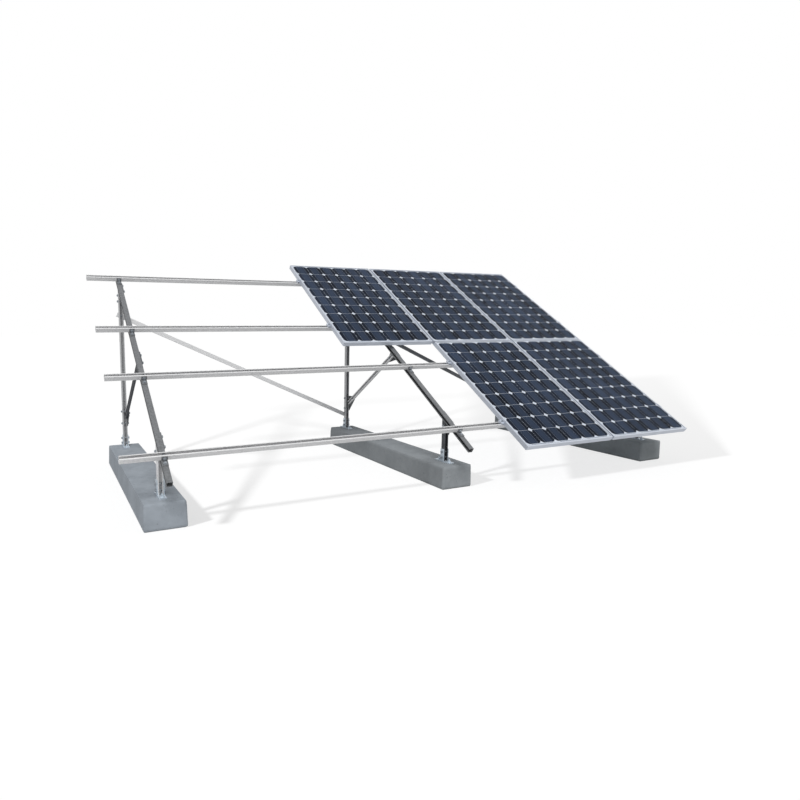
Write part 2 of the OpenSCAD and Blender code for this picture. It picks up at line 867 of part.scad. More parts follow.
brace_head_gusset(2);  // brace_head_gusset_right
brace_foot_gusset(0);  // brace_foot_gusset_left
brace_foot_gusset(1);  // brace_foot_gusset_middle
brace_foot_gusset(2);  // brace_foot_gusset_right
rear_diagonal(0);  // rear_diagonal_left
rear_diagonal(1);  // rear_diagonal_right
purlin(0);  // purlin_1
purlin(1);  // purlin_2
purlin(2);  // purlin_3
purlin(3);  // purlin_4
module_frame(0);  // module_frame_1
module_frame(1);  // module_frame_2
module_frame(2);  // module_frame_3
module_frame(3);  // module_frame_4
module_frame(4);  // module_frame_5
laminate(0);  // laminate_1
laminate(1);  // laminate_2
laminate(2);  // laminate_3
laminate(3);  // laminate_4
laminate(4);  // laminate_5
junction_box(0);  // junction_box_1
junction_box(1);  // junction_box_2
junction_box(2);  // junction_box_3
junction_box(3);  // junction_box_4
junction_box(4);  // junction_box_5
purlin_cleats();
mid_clamps();
end_clamps();
anchor_bolts();
frame_bolts();
clamp_bolts();
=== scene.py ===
"""Looks of a ground-ballasted solar panel mounting structure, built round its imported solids.

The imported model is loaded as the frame. Steel, bolts, clamps and module frames keep their solids
and get their finishes. The concrete beams, the laminates and the junction boxes are modelled here.
"""

import math

import bmesh
import bpy
from mathutils import Matrix, Vector


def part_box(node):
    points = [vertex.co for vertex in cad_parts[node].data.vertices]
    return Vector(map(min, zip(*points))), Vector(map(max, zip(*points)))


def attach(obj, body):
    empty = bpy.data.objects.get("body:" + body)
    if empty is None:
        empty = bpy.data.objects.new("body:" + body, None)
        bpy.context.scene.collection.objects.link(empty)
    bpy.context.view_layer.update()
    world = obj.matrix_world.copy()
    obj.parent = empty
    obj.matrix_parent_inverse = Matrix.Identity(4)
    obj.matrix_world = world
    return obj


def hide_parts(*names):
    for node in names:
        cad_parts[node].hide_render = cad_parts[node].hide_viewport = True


bl_info = {
    "name": "Solar Mounting Structure",
    "version": (1, 0, 0),
    "blender": (4, 5, 0),
    "location": "View3D > Sidebar > Solar Mount",
    "description": "Concrete beams, module laminates and finishes for a solar mounting structure",
    "category": "Object",
}

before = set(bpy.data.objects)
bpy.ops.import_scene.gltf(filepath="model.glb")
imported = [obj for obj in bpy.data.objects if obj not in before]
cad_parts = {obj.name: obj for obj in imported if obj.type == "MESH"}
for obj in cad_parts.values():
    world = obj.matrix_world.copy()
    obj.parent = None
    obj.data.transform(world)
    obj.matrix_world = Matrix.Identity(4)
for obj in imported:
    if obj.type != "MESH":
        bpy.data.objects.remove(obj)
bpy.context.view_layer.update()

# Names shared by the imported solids
SIDES = ("left", "middle", "right")
MODULES = (1, 2, 3, 4, 5)
RAILS = ("purlin_1", "purlin_2", "purlin_3", "purlin_4")

# Single steel parts given a paler or darker zinc than the rest of their frame: the paler zinc is
# painted light, the darker zinc painted shade
LIGHT_PAINTED_PARTS = ("rear_diagonal_left", "knee_brace_middle", "front_post_left")
SHADE_PAINTED_PARTS = (
    "brace_head_gusset_left",
    "brace_head_gusset_middle",
    "brace_head_gusset_right",
    "knee_brace_left",
    "front_post_middle",
)

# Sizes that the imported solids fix, in metres
TILT = math.radians(33)
MODULE_THICK = 0.040
LAMINATE_TOP = -0.00225
LAMINATE_THICK = 0.005
LAMINATE_INSET = 0.00225
LIP_REACH = 0.011
COLUMN_PITCH = 1.012
ROW_PITCH = 1.492
BEAM_TOP_SHARE = 286 / 302
JBOX_SIZE = (0.150, 0.108, 0.023)
JBOX_EDGE = 0.095
JBOX_PLAY = 0.00025
GLAND_RADIUS = 0.008
GLAND_LENGTH = 0.016
GLAND_ACROSS_FLATS = 0.017
GLAND_HEIGHT = 0.0135

# Cells in each module
CELL_COLUMNS = 6
CELL_ROWS = 9

# Sizes that only the scene has, in metres
CROSS_RIBBON_END = 0.020
LID_THICK = 0.004
LID_INSET = 0.002
SCREW_INSET = 0.006
CONCRETE_VOXEL = 0.011

# Each concrete beam gets its own grey, which paints part of its light and shade: the middle one
# darker, the right one paler, the left one bluer
BEAM_SHADE_TINTS = {
    "left": ("pale", (0.92, 0.94, 0.98)),
    "middle": ("mid", (0.80, 0.79, 0.78)),
    "right": ("dark", (1.04, 1.04, 1.02)),
}

# Second tones, mixed into the colours that the scene holds
# Painted shade inside the concrete's air holes
PIT_SHADE_GREY = "#666c72"
PLATE_SHADE = "#b4c0cb"
BOLT_SHADE = "#858b91"
ALUMINIUM_SHADE = "#bdc4d0"
FINGER_GREY = "#6b7688"
PLASTIC_WEAR = "#2a2b2e"
SEAL_WEAR = "#3c3f45"

# The anti-glare glass over the cells, as a part of their shader
GLASS_OVER = {"Specular IOR Level": 0.02, "Coat Weight": 0.02, "Coat Roughness": 0.06}

# Lamps: the sun lights the object, the point lamp draws the shadow on the floor
KEY_LAMP_AIM = Vector((0.22, 0.66, -0.9))
KEY_LAMP_POWER = 2.0
KEY_LAMP_SPREAD = math.radians(25)
SHADOW_LAMP_PLACE = Vector((-6.17, -2.32, 3.83))
SHADOW_LAMP_POWER = 48.0
SHADOW_LAMP_RADIUS = 0.25
WORLD_LEVEL = 0.38

# Floor: its width, its pale bounce, the part of light that shows a shadow, and its white
FLOOR_WIDTH = 120
FLOOR_BOUNCE = "#c4c4c4"
FLOOR_ALBEDO = 0.3
FLOOR_WHITE = 1.01

# Camera, as fitted to the photo: pixels of the square picture, metres and angles
PICTURE_PIXELS = 800
FOCAL_PIXELS = 574.4
AXIS_PIXELS = (293.3, 392.6)
SENSOR_WIDTH = 36.0
CAMERA_PLACE = (-3.0557, -4.6612, 1.3729)
CAMERA_YAW = math.radians(23.79)
CAMERA_PITCH = math.radians(-6.99)


def linear(colour):
    """A colour written as sRGB hex, as linear red, green, blue and alpha."""
    parts = [int(colour[i : i + 2], 16) / 255 for i in (1, 3, 5)]
    return [p / 12.92 if p <= 0.04045 else ((p + 0.055) / 1.055) ** 2.4 for p in parts] + [1.0]


def colour_property(name, description, colour):
    """A colour that the user may change."""
    return bpy.props.FloatVectorProperty(
        name=name,
        description=description,
        subtype="COLOR",
        size=4,
        min=0.0,
        max=1.0,
        default=linear(colour),
    )


def length_property(name, description, value, low, high):
    """A length in metres that the user may change."""
    return bpy.props.FloatProperty(
        name=name,
        description=description,
        default=value,
        min=low,
        max=high,
        precision=5,
        unit="LENGTH",
        subtype="DISTANCE",
    )


class SolarMountSizes(bpy.types.PropertyGroup):
    cell_width: length_property("Cell width", "Width of a solar cell", 0.1576, 0.12, 0.158)
    cell_length: length_property("Cell length", "Length of a solar cell", 0.1568, 0.12, 0.158)
    cell_pitch: length_property("Cell pitch", "Distance from cell to cell", 0.159, 0.158, 0.16)
    cell_corner: length_property("Cell corner", "Cut at each corner of a cell", 0.023, 0.0, 0.03)
    ribbon: length_property("Ribbon", "Width of a solder ribbon", 0.0020, 0.001, 0.004)
    cross_ribbon: length_property("Cross ribbon", "Width of a cross ribbon", 0.005, 0.003, 0.008)
    seal: length_property("Seal", "Width of the glass seal", 0.0025, 0.001, 0.006)
    concrete_edge: length_property("Edge", "Rounding of a concrete edge", 0.007, 0.002, 0.02)
    concrete_wave: length_property("Waviness", "Unevenness of cast concrete", 0.001, 0.0, 0.003)


class SolarMountColours(bpy.types.PropertyGroup):
    concrete: colour_property("Concrete", "Dry cast concrete", "#a1a7ac")
    concrete_stain: colour_property("Stain", "Damp and dust on the concrete", "#8e9499")
    rail_zinc: colour_property("Rail zinc", "Bright galvanised rails", "#dfdfe0")
    rail_dull: colour_property("Dull rail zinc", "Dull crystals of the rails", "#d3d4d5")
    post_zinc: colour_property("Post zinc", "Galvanised posts", "#bbbcbd")
    post_dull: colour_property("Dull post zinc", "Dull crystals of the posts", "#abacae")
    # The frames' zinc is darker than the rails' and the posts'
    frame_zinc: colour_property("Frame zinc", "Darker galvanised frames", "#7b7d80")
    frame_dull: colour_property("Dull frame zinc", "Dull crystals of the frames", "#696b6d")
    # Painted shade: a darker zinc for single parts that stand in shade
    shade_zinc: colour_property("Dark zinc", "Galvanised parts with painted shade", "#505256")
    shade_dull: colour_property("Dull dark zinc", "Dull crystals of the dark parts", "#404246")
    bright_zinc: colour_property("Bright zinc", "Plated feet and anchors", "#d3dde6")
    bolt_zinc: colour_property("Bolt zinc", "Dull plated bolts", "#a4aab0")
    aluminium: colour_property("Aluminium", "Anodised module frames", "#cdd3de")
    cell: colour_property("Cell", "Solar cell under glass", "#0a0f19")
    # The sheen colour paints reflection on the cells, and gives their random paler tone too
    cell_sheen_and_tone: colour_property("Cell sheen", "Paler stretches of the cells", "#364257")
    back_sheet: colour_property("Back sheet", "Sheet behind the cells", "#ced5e0")
    ribbon: colour_property("Ribbon", "Tinned copper ribbon", "#747e8f")
    plastic: colour_property("Plastic", "Junction box plastic", "#1c1d1f")
    seal: colour_property("Seal", "Silicone seal of the glass", "#2b2d31")


def sizes():
    """The sizes held by the scene."""
    return bpy.context.scene.solar_mount_sizes


def colours():
    """The colours held by the scene."""
    return bpy.context.scene.solar_mount_colours


# Placing


def slope_origin():
    """The low left corner of the module plane's top face, as height and depth."""
    low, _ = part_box("module_frame_4")
    return Vector((0, low.y, low.z + MODULE_THICK * math.cos(TILT)))


def module_place(number):
    """The matrix that carries a module's own plane to its cell of the array."""
    low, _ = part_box(f"module_frame_{number}")
    origin = slope_origin()
    start = (low.y - origin.y) / math.cos(TILT)
    turn = Matrix.Rotation(TILT, 4, "X")
    return Matrix.Translation(origin) @ turn @ Matrix.Translation((low.x, start, 0))


def module_size():
    """Width and length of a module in its own plane."""
    low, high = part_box("module_frame_1")
    width = high.x - low.x
    length = (high.y - low.y - MODULE_THICK * math.sin(TILT)) / math.cos(TILT)
    return width, length


# Modelling


def clear_selection():
    """Leave edit mode and deselect every object."""
    if bpy.context.object and bpy.context.object.mode != "OBJECT":
        bpy.ops.object.mode_set(mode="OBJECT")
    bpy.ops.object.select_all(action="DESELECT")


def make_active(piece):
    """Select one object alone and make it active."""
    clear_selection()
    piece.select_set(True)
    bpy.context.view_layer.objects.active = piece


def settle(piece):
    """Put the piece's place, turn and scale into its mesh."""
    make_active(piece)
    bpy.ops.object.transform_apply(location=True, rotation=True, scale=True)


def add_slab(name, low, high):
    """A block between two corners, with its place in its mesh."""
    clear_selection()
    low, high = Vector(low), Vector(high)
    bpy.ops.mesh.primitive_cube_add(size=1, location=(low + high) / 2)
    piece = bpy.context.object
    piece.name = piece.data.name = name
    piece.scale = high - low
    settle(piece)
    return piece


def add_round(name, centre, radius, height, sides):
    """An upright round bar from a centre of its foot, with its place in its mesh."""
    clear_selection()
    middle = Vector(centre) + Vector((0, 0, height / 2))
    bpy.ops.mesh.primitive_cylinder_add(
        vertices=sides, radius=radius, depth=height, location=middle
    )
    piece = bpy.context.object
    piece.name = piece.data.name = name
    settle(piece)
    return piece


def pick(piece, kind, test):
    """In edit mode, select the faces, edges or vertices that pass the test."""
    bpy.ops.mesh.select_mode(type=kind)
    bpy.ops.mesh.select_all(action="DESELECT")
    shape = bmesh.from_edit_mesh(piece.data)
    parts = {"VERT": shape.verts, "EDGE": shape.edges, "FACE": shape.faces}[kind]
    for part in parts:
        part.select_set(bool(test(part)))
    shape.select_flush_mode()
    bmesh.update_edit_mesh(piece.data)


def edit(piece):
    """Enter edit mode on one piece."""
    make_active(piece)
    bpy.ops.object.mode_set(mode="EDIT")


def leave_edit():
    """Leave edit mode."""
    bpy.ops.object.mode_set(mode="OBJECT")


def apply_modifier(piece, kind, **settings):
    """Add a modifier with its settings and apply it."""
    make_active(piece)
    modifier = piece.modifiers.new(kind.title(), kind)
    for key, value in settings.items():
        setattr(modifier, key, value)
    bpy.ops.object.modifier_apply(modifier=modifier.name)


def repeat(piece, count, step):
    """Repeat the piece along a step, in one mesh."""
    apply_modifier(
        piece,
        "ARRAY",
        count=count,
        use_relative_offset=False,
        use_constant_offset=True,
        constant_offset_displace=step,
    )


def join(pieces, name):
    """Join pieces into the first one."""
    clear_selection()
    for piece in pieces:
        piece.select_set(True)
    bpy.context.view_layer.objects.active = pieces[0]
    bpy.ops.object.join()
    pieces[0].name = pieces[0].data.name = name
    return pieces[0]


def bevel_edges(piece, width, segments):
    """Round every edge of the piece."""
    edit(piece)
    bpy.ops.mesh.select_all(action="SELECT")
    bpy.ops.mesh.bevel(offset=width, segments=segments, affect="EDGES")
    leave_edit()


def smooth(piece, degrees):
    """Shade smooth, with sharp edges past an angle."""
    make_active(piece)
    bpy.ops.object.shade_smooth_by_angle(angle=math.radians(degrees))


def copy_to(piece, name, place):
    """A copy with its own mesh, carried to its place."""
    copy = piece.copy()
    copy.data = piece.data.copy()
    copy.name = copy.data.name = name
    bpy.context.scene.collection.objects.link(copy)
    copy.matrix_world = place
    settle(copy)
    return copy


def dress(piece, material):
    """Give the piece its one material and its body."""
    piece.data.materials.clear()
    piece.data.materials.append(material)
    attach(piece, "root")


def spread_over_modules(pattern, stem, material):
    """Copy a pattern piece to each module, then take the pattern away."""
    made = []
    for number in MODULES:
        piece = copy_to(pattern, f"{stem}_{number}", module_place(number))
        dress(piece, material)
        made.append(piece)
    bpy.data.objects.remove(pattern)
    return made


# Materials


def add_node(tree, kind, inputs=None, **settings):
    """Add a node, set it, and set or link its inputs."""
    made = tree.nodes.new(kind)
    for key, value in settings.items():
        setattr(made, key, value)
    for key, value in (inputs or {}).items():
        if isinstance(value, bpy.types.NodeSocket):
            tree.links.new(value, made.inputs[key])
        else:
            made.inputs[key].default_value = value
    return made


def calculate(tree, operation, *values):
    """A sum on numbers or sockets."""
    node = add_node(tree, "ShaderNodeMath", dict(enumerate(values)), operation=operation)
    return node.outputs[0]


def object_place(tree):
    """Where a point lies on the object, in metres."""
    return add_node(tree, "ShaderNodeTexCoord").outputs["Object"]


def start_material(name):
    """An empty node material and its output node."""
    material = bpy.data.materials.new(name)
    material.use_nodes = True
    tree = material.node_tree
    tree.nodes.clear()
    return material, tree, add_node(tree, "ShaderNodeOutputMaterial")


def mix_colours(tree, factor, first, second):
    """One colour turning into another by a factor."""
    node = add_node(
        tree, "ShaderNodeMix", {0: factor, 6: first, 7: second}, data_type="RGBA"
    )
    return node.outputs[2]


def scale_colour(tree, colour, amount):
    """A colour made paler or darker by an amount."""
    node = add_node(
        tree, "ShaderNodeVectorMath", {0: colour, "Scale": amount}, operation="SCALE"
    )
    return node.outputs[0]


def step_range(tree, value, low, high, to_low, to_high):
    """A value carried smoothly from one range to another."""
    node = add_node(
        tree,
        "ShaderNodeMapRange",
        {"Value": value, 1: low, 2: high, 3: to_low, 4: to_high},
        interpolation_type="SMOOTHSTEP",
    )
    return node.outputs[0]


def shade(tree, output, shader_inputs):
    """The surface shader, joined to the output."""
    shader = add_node(tree, "ShaderNodeBsdfPrincipled", shader_inputs)
    tree.links.new(shader.outputs["BSDF"], output.inputs["Surface"])


def noise(tree, where, size, detail, roughness=0.55):
    """Soft noise whose lumps are about a given size in metres."""
    node = add_node(
        tree,
        "ShaderNodeTexNoise",
        {"Vector": where, "Scale": 1 / size, "Detail": detail, "Roughness": roughness},
    )
    return node.outputs["Fac"]


def relief(tree, height, distance, strength=1.0, under=None):
    """A bump of a real depth in metres, laid over another one if given."""
    inputs = {"Height": height, "Distance": distance, "Strength": strength}
    if under is not None:
        inputs["Normal"] = under
    return add_node(tree, "ShaderNodeBump", inputs).outputs["Normal"]


def cast_concrete(brightness, tint):
    """Precast concrete, struck from a steel mould: dull, sandy, with air holes."""
    material, tree, output = start_material(f"cast_concrete_{brightness}")
    where = object_place(tree)
    cloud = noise(tree, where, 0.35, 5.0)
    patch = noise(tree, where, 0.045, 6.0, 0.6)
    # Sand grains of about 2 mm are drawn at 4 mm, so that they show from some metres away
    sand = noise(tree, where, 0.004, 2.0, 0.7)
    stain = step_range(tree, cloud, 0.35, 0.7, 0.0, 0.75)
    # The beam's tint scales both concrete colours, as painted light and shade
    clean, stained = (
        [part * share for part, share in zip(colour, (*tint, 1.0))]
        for colour in (colours().concrete, colours().concrete_stain)
    )
    base = mix_colours(tree, stain, clean, stained)
    mottle = step_range(tree, patch, 0.3, 0.7, 0.95, 1.05)
    grain = step_range(tree, sand, 0.25, 0.75, 0.94, 1.05)
    toned = scale_colour(tree, base, calculate(tree, "MULTIPLY", mottle, grain))
    # Air holes of 3 to 8 mm, one in every 25 mm or so where the mask lets them; their darker grey
    # is painted shade
    holes = add_node(
        tree, "ShaderNodeTexVoronoi", {"Vector": where, "Scale": 1 / 0.025, "Randomness": 1.0}
    ).outputs["Distance"]
    hole = step_range(tree, holes, 0.10, 0.17, 1.0, 0.0)
    chosen = step_range(tree, noise(tree, where, 0.08, 2.0), 0.5, 0.6, 0.0, 1.0)
    pit = calculate(tree, "MULTIPLY", hole, chosen)
    final = mix_colours(tree, pit, toned, linear(PIT_SHADE_GREY))
    coarse = relief(tree, patch, 0.0005)
    sandy = relief(tree, sand, 0.0006, 0.8, coarse)
    pitted = relief(tree, calculate(tree, "SUBTRACT", 1.0, pit), 0.003, 1.0, sandy)
    shade(tree, output, {"Base Color": final, "Roughness": 0.9, "Normal": pitted})
    return material


def galvanised_steel(name, bright, dull, low_rough, high_rough):
    """Hot-dip galvanised steel: a grey zinc skin whose crystals catch the light in turn."""
    material, tree, output = start_material(name)
    where = object_place(tree)
    warp = add_node(
        tree,
        "ShaderNodeTexNoise",
        {"Vector": where, "Scale": 1 / 0.02, "Detail": 2.0},
    ).outputs["Color"]
    bent = add_node(
        tree, "ShaderNodeMix", {0: 0.004, 4: where, 5: warp}, data_type="VECTOR"
    ).outputs[1]
    # Zinc crystals of about 9 mm
    crystals = add_node(
        tree, "ShaderNodeTexVoronoi", {"Vector": bent, "Scale": 1 / 0.009}
    ).outputs["Color"]
    crystal = add_node(tree, "ShaderNodeSeparateColor", {0: crystals}).outputs[0]
    dullness = calculate(tree, "MULTIPLY", crystal, noise(tree, where, 0.25, 4.0))
    factor = step_range(tree, dullness, 0.05, 0.6, 0.1, 0.9)
    base = mix_colours(tree, factor, bright, dull)
    rough = step_range(tree, crystal, 0.0, 1.0, low_rough, high_rough)
    skin = relief(tree, noise(tree, where, 0.006, 3.0), 0.0002, 0.5)
    shade(
        tree,
        output,
        {"Base Color": base, "Metallic": 0.3, "Roughness": rough, "Normal": skin},
    )
    return material


def plated_steel(name, bright, dull, metallic):
    """Electroplated zinc: smooth and nearly even, with faint rub marks."""
    material, tree, output = start_material(name)
    where = object_place(tree)
    rub = noise(tree, where, 0.01, 5.0, 0.65)
    base = mix_colours(tree, step_range(tree, rub, 0.35, 0.7, 0.0, 0.6), bright, dull)
    rough = step_range(tree, rub, 0.3, 0.7, 0.3, 0.45)
    skin = relief(tree, rub, 0.0001, 0.4)
    shade(
        tree,
        output,
        {"Base Color": base, "Metallic": metallic, "Roughness": rough, "Normal": skin},
    )
    return material


def anodised_aluminium():
    """Clear anodised aluminium: a pale satin, with faint extrusion lines along the rail."""
    material, tree, output = start_material("clear_anodised_aluminium")
    where = object_place(tree)
    # Die lines of about 1 mm, stretched along both rail directions
    along = add_node(
        tree, "ShaderNodeMapping", {"Vector": where, "Scale": (8.0, 900.0, 900.0)}
    ).outputs[0]
    lines = add_node(
        tree, "ShaderNodeTexNoise", {"Vector": along, "Scale": 1.0, "Detail": 2.0}
    ).outputs["Fac"]
    cloud = noise(tree, where, 0.12, 3.0)
    tone = calculate(tree, "MULTIPLY", lines, cloud)
    factor = step_range(tree, tone, 0.1, 0.45, 0.0, 0.5)
    base = mix_colours(tree, factor, colours().aluminium, linear(ALUMINIUM_SHADE))
    rough = step_range(tree, cloud, 0.3, 0.7, 0.38, 0.5)
    skin = relief(tree, lines, 0.00005, 0.3)
    shade(
        tree,
        output,
        {"Base Color": base, "Metallic": 0.3, "Roughness": rough, "Normal": skin},
    )
    return material


def silicon_cell():
    """Single-crystal silicon cells seen through glass: dark blue, of slightly different tones."""
    material, tree, output = start_material("silicon_cell_under_glass")
    where = object_place(tree)
    plane = add_node(
        tree,
        "ShaderNodeMapping",
        {"Vector": where, "Location": slope_origin(), "Rotation": (TILT, 0.0, 0.0)},
        vector_type="TEXTURE",
    ).outputs[0]
    # The cell that a point lies in, counted inside its own module
    width, length = module_size()
    pitch = sizes().cell_pitch
    apart = add_node(tree, "ShaderNodeSeparateXYZ", {0: plane})
    steps = []
    for axis, start, whole, count, every in (
        (0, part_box("module_frame_1")[0].x, width, CELL_COLUMNS, COLUMN_PITCH),
        (1, 0.0, length, CELL_ROWS, ROW_PITCH),
    ):
        local = calculate(tree, "WRAP", apart.outputs[axis], start + every, start)
        margin = start + (whole - count * pitch) / 2
        inside = calculate(tree, "SUBTRACT", local, margin)
        steps.append(calculate(tree, "DIVIDE", inside, pitch))
    counted = add_node(tree, "ShaderNodeCombineXYZ", {0: steps[0], 1: steps[1]}).outputs[0]
    which = add_node(tree, "ShaderNodeVectorMath", {0: counted}, operation="FLOOR").outputs[0]
    lot = add_node(
        tree, "ShaderNodeTexWhiteNoise", {"Vector": which}, noise_dimensions="3D"
    ).outputs["Value"]
    # A painted sheen makes each cell palest between its two ribbons
    across = calculate(tree, "FRACT", steps[0])
    off_middle = calculate(tree, "ABSOLUTE", calculate(tree, "SUBTRACT", across, 0.5))
    band = step_range(tree, off_middle, 0.08, 0.36, 0.6, 0.0)
    # Soft streaks down the slope are painted reflection
    reflection_space = add_node(
        tree, "ShaderNodeMapping", {"Vector": plane, "Scale": (1.0, 0.35, 1.0)}
    ).outputs[0]
    reflection_streak = noise(tree, reflection_space, 0.30, 2.0, 0.4)
    sheen = step_range(tree, reflection_streak, 0.4, 0.68, 0.0, 0.3)
    # Each cell's random tone, added to the painted sheen and reflection
    varied = calculate(tree, "MULTIPLY_ADD", lot, 0.14, band)
    factor = calculate(tree, "ADD", sheen, varied)
    base = mix_colours(tree, factor, colours().cell, colours().cell_sheen_and_tone)
    # Silver fingers stand 2 mm apart and are drawn faintly
    fingers = add_node(
        tree,
        "ShaderNodeTexWave",
        {"Vector": plane, "Scale": 1 / (0.004 * math.pi) / 2},
        bands_direction="Y",
    ).outputs["Fac"]
    faint = step_range(tree, fingers, 0.8, 1.0, 0.0, 0.06)
    lined = mix_colours(tree, faint, base, linear(FINGER_GREY))
    shade(tree, output, {"Base Color": lined, "Roughness": 0.4, **GLASS_OVER})
    return material


def coated_plain(name, colour, spread, size):
    """A pale layer under the same glass, with faint clouding."""
    material, tree, output = start_material(name)
    where = object_place(tree)
    cloud = noise(tree, where, size, 3.0)
    scaled = step_range(tree, cloud, 0.3, 0.7, 1.0 - spread, 1.0 + spread)
    base = scale_colour(tree, list(colour)[:3], scaled)
    shade(tree, output, {"Base Color": base, "Roughness": 0.5, **GLASS_OVER})
    return material


def moulded_plastic():
    """Black moulded box plastic: satin, finely spark-eroded."""
    material, tree, output = start_material("black_moulded_plastic")
    where = object_place(tree)
    fine = noise(tree, where, 0.0012, 3.0)
    cloud = noise(tree, where, 0.05, 3.0)
    worn = step_range(tree, cloud, 0.3, 0.7, 0.0, 0.5)
    base = mix_colours(tree, worn, colours().plastic, linear(PLASTIC_WEAR))
    rough = step_range(tree, fine, 0.3, 0.7, 0.42, 0.6)
    skin = relief(tree, fine, 0.0001, 0.6)
    shade(tree, output, {"Base Color": base, "Roughness": rough, "Normal": skin})
    return material


def silicone_seal():
    """Dark silicone: soft, dull and slightly uneven."""
    material, tree, output = start_material("silicone_glass_seal")
    where = object_place(tree)
    lumps = noise(tree, where, 0.008, 3.0)
    worn = step_range(tree, lumps, 0.3, 0.7, 0.0, 0.6)
    base = mix_colours(tree, worn, colours().seal, linear(SEAL_WEAR))
    skin = relief(tree, lumps, 0.0003, 0.6)
    shade(tree, output, {"Base Color": base, "Roughness": 0.6, "Normal": skin})
    return material


# Pieces


class CastConcreteBeams(bpy.types.Operator):
    """Model the three concrete beams, with worn edges and an uneven cast face"""

    bl_idname = "solar_mount.cast_concrete_beams"
    bl_label = "Cast Concrete Beams"

    def execute(self, context):
        grain = bpy.data.textures.new("cast_unevenness", "CLOUDS")
        grain.noise_scale = 0.3
        grain.noise_depth = 3
        for side in SIDES:
            node = f"ballast_block_{side}"
            low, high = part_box(node)
            beam = add_slab(f"concrete_beam_{side}", low, high)
            edit(beam)
            pick(beam, "FACE", lambda face: face.normal.z > 0.9)
            bpy.ops.transform.resize(value=(BEAM_TOP_SHARE, 1, 1))
            leave_edit()
            bevel_edges(beam, sizes().concrete_edge, 3)
            apply_modifier(beam, "REMESH", mode="VOXEL", voxel_size=CONCRETE_VOXEL)
            apply_modifier(
                beam,
                "DISPLACE",
                texture=grain,
                texture_coords="LOCAL",
                strength=sizes().concrete_wave,
                mid_level=0.6,
            )
            smooth(beam, 60)
            dress(beam, cast_concrete(*BEAM_SHADE_TINTS[side]))
            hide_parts(node)
        return {"FINISHED"}


class LayUpLaminates(bpy.types.Operator):
    """Model the five laminates: glass and sheet, square cells with cut corners, and ribbons"""

    bl_idname = "solar_mount.lay_up_laminates"
    bl_label = "Lay Up Laminates"

    def execute(self, context):
        width, length = module_size()
        size = sizes()
        slab = add_slab(
            "sheet_pattern",
            (LAMINATE_INSET, LAMINATE_INSET, LAMINATE_TOP - LAMINATE_THICK),
            (width - LAMINATE_INSET, length - LAMINATE_INSET, LAMINATE_TOP - 0.0004),
        )
        bevel_edges(slab, 0.0006, 1)
        sheets = spread_over_modules(
            slab,
            "laminate_sheet",
            coated_plain("back_sheet_under_glass", colours().back_sheet, 0.05, 0.3),
        )
        for number, sheet in zip(MODULES, sheets):
            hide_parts(f"laminate_{number}")
        spread_over_modules(
            self.cells(width, length, size), "silicon_cells", silicon_cell()
        )
        spread_over_modules(
            self.ribbons(width, length, size),
            "solder_ribbons",
            coated_plain("tinned_copper_ribbon", colours().ribbon, 0.08, 0.05),
        )
        return {"FINISHED"}

    def cells(self, width, length, size):
        """Six by nine cells, each cut at its corners and raised off the sheet."""
        first = (
            (width - (CELL_COLUMNS - 1) * size.cell_pitch) / 2,
            (length - (CELL_ROWS - 1) * size.cell_pitch) / 2,
            LAMINATE_TOP - 0.0005,
        )
        clear_selection()
        bpy.ops.mesh.primitive_plane_add(size=1, location=first)
        cell = bpy.context.object
        cell.name = "cell_pattern"
        cell.scale = (size.cell_width, size.cell_length, 1)
        settle(cell)
        edit(cell)
        bpy.ops.mesh.select_all(action="SELECT")
        bpy.ops.mesh.bevel(offset=size.cell_corner, segments=2, profile=0.32, affect="VERTICES")
        pick(cell, "FACE", lambda face: True)
        bpy.ops.mesh.extrude_region_move(TRANSFORM_OT_translate={"value": (0, 0, 0.0003)})
        leave_edit()
        repeat(cell, CELL_COLUMNS, (size.cell_pitch, 0, 0))
        repeat(cell, CELL_ROWS, (0, size.cell_pitch, 0))
        return cell

    def ribbons(self, width, length, size):
        """Two ribbons on each cell string and the cross ribbons at both ends."""
        first = (width - (CELL_COLUMNS - 1) * size.cell_pitch) / 2
        near, far = CROSS_RIBBON_END, length - CROSS_RIBBON_END
        half = size.ribbon / 2
        cross_half = size.cross_ribbon / 2
        reach = size.cell_width / 4 + half
        strips = []
        for side in (-1, 1):
            middle = first + side * size.cell_width / 4
            strips.append(self.strip((middle - half, near), (middle + half, far)))
        string = join(strips, "ribbon_pattern")
        repeat(string, CELL_COLUMNS, (size.cell_pitch, 0, 0))
        crossings = []
        for place, spans in (
            (near, ((0, 1), (2, 3), (4, 5))),
            (far, ((0, 0), (1, 2), (3, 4), (5, 5))),
        ):
            for start, stop in spans:
                left = first + start * size.cell_pitch - reach
                right = first + stop * size.cell_pitch + reach
                crossings.append(
                    self.strip((left, place - cross_half), (right, place + cross_half))
                )
        return join([string] + crossings, "ribbon_pattern")

    def strip(self, low, high):
        """One flat ribbon between two corners of the module's plane."""
        return add_slab("ribbon", (*low, LAMINATE_TOP - 0.0003), (*high, LAMINATE_TOP))


class RunGlassSeals(bpy.types.Operator):
    """Model the silicone seal between each glass and its frame"""

    bl_idname = "solar_mount.run_glass_seals"
    bl_label = "Run Glass Seals"

    def execute(self, context):
        width, length = module_size()
        inner = LIP_REACH + sizes().seal
        outer = LIP_REACH - 0.002
        seal = add_slab(
            "seal_pattern",
            (outer, outer, LAMINATE_TOP - 0.0006),
            (width - outer, length - outer, LAMINATE_TOP + 0.0009),
        )
        edit(seal)
        pick(seal, "FACE", lambda face: abs(face.normal.z) > 0.9)
        bpy.ops.mesh.inset(thickness=inner - outer, depth=0)
        bpy.ops.mesh.bridge_edge_loops()
        leave_edit()
        bevel_edges(seal, 0.0004, 1)
        spread_over_modules(seal, "glass_seal", silicone_seal())
        return {"FINISHED"}


